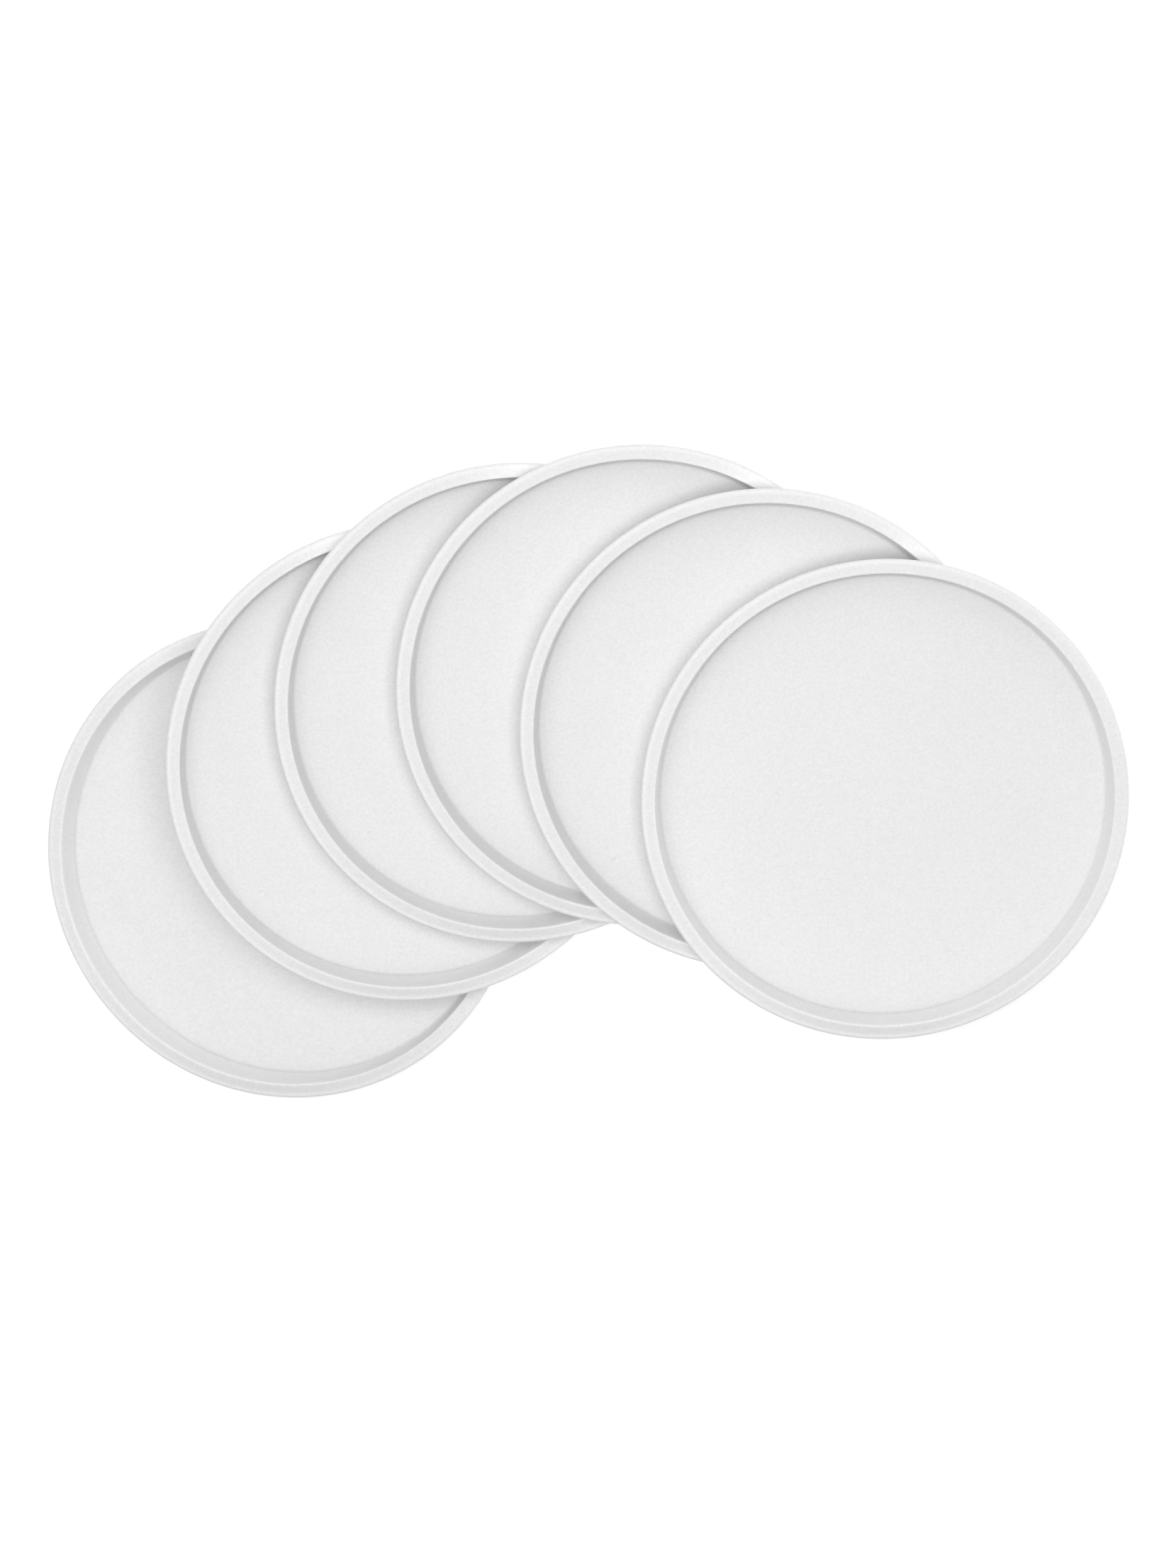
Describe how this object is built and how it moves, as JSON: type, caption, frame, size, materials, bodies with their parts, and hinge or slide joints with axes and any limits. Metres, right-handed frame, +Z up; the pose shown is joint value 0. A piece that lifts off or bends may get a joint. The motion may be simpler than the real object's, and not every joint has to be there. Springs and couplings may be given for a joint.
{
  "type": "resin coaster mould set",
  "caption": "Set of shallow round silicone moulds for casting resin coasters, spread in an overlapping fan, each one lifting off the one below.",
  "frame": {"origin": "on the table, at the middle of the set's footprint", "axes": "+X along the fan towards the last mould, +Y towards the fan's outer curve, +Z up from the table"},
  "size_m": [0.2364, 0.1484, 0.0396],
  "materials": {
    "silicone": "matt translucent white silicone"
  },
  "bodies": {
    "mould_1": {"coaster_mould_1": "silicone"},
    "mould_2": {"coaster_mould_2": "silicone"},
    "mould_3": {"coaster_mould_3": "silicone"},
    "mould_4": {"coaster_mould_4": "silicone"},
    "mould_5": {"coaster_mould_5": "silicone"},
    "mould_6": {"coaster_mould_6": "silicone"}
  },
  "joints": [
    {"name": "lift_2", "type": "slide", "parent": "mould_1", "child": "mould_2", "axis": [0, 0, 1], "range_m": [0, 0.06]},
    {"name": "lift_3", "type": "slide", "parent": "mould_2", "child": "mould_3", "axis": [0, 0, 1], "range_m": [0, 0.06]},
    {"name": "lift_4", "type": "slide", "parent": "mould_3", "child": "mould_4", "axis": [0, 0, 1], "range_m": [0, 0.06]},
    {"name": "lift_5", "type": "slide", "parent": "mould_4", "child": "mould_5", "axis": [0, 0, 1], "range_m": [0, 0.06]},
    {"name": "lift_6", "type": "slide", "parent": "mould_5", "child": "mould_6", "axis": [0, 0, 1], "range_m": [0, 0.06]}
  ]
}
